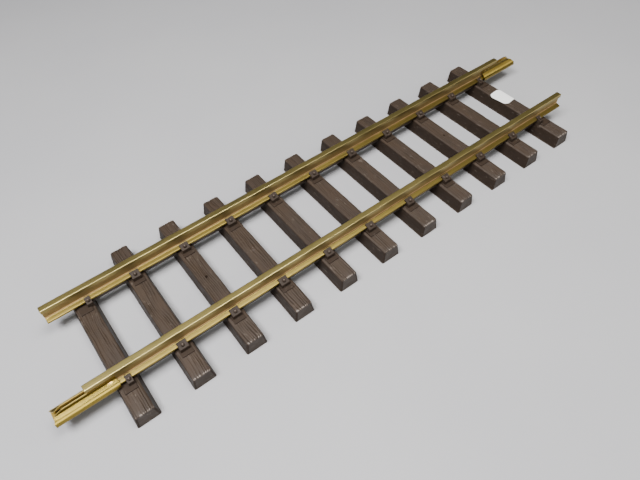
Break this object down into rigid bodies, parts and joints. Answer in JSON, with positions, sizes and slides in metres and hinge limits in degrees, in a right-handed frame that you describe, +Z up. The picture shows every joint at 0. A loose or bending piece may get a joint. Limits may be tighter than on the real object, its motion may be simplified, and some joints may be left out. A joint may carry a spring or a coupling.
{
  "type": "model track section",
  "caption": "Straight section of 45 mm gauge model track: brass rails held in the chairs of dark moulded sleepers, with a rolled brass joiner on one end of each rail.",
  "frame": {"origin": "on the ground under the middle of the section, half way between the rails", "axes": "+X along the track, +Y across it towards the rail with the joiner at its +X end, +Z up"},
  "size_m": [0.331, 0.088, 0.0181],
  "materials": {
    "rail_brass": "dull drawn brass",
    "joiner_brass": "bright rolled brass",
    "sleeper_plastic": "moulded wood grain",
    "label_paper": "matt white"
  },
  "bodies": {
    "root": {"rail_near": "rail_brass", "rail_far": "rail_brass", "sleeper_01": "sleeper_plastic", "sleeper_02": "sleeper_plastic", "sleeper_03": "sleeper_plastic", "sleeper_04": "sleeper_plastic", "sleeper_05": "sleeper_plastic", "sleeper_06": "sleeper_plastic", "sleeper_07": "sleeper_plastic", "sleeper_08": "sleeper_plastic", "sleeper_09": "sleeper_plastic", "sleeper_10": "sleeper_plastic", "sleeper_11": "sleeper_plastic", "sleeper_links_near": "sleeper_plastic", "sleeper_links_far": "sleeper_plastic", "joiner_near_left": "joiner_brass", "joiner_far_right": "joiner_brass", "blank_label": "label_paper"}
  },
  "joints": []
}
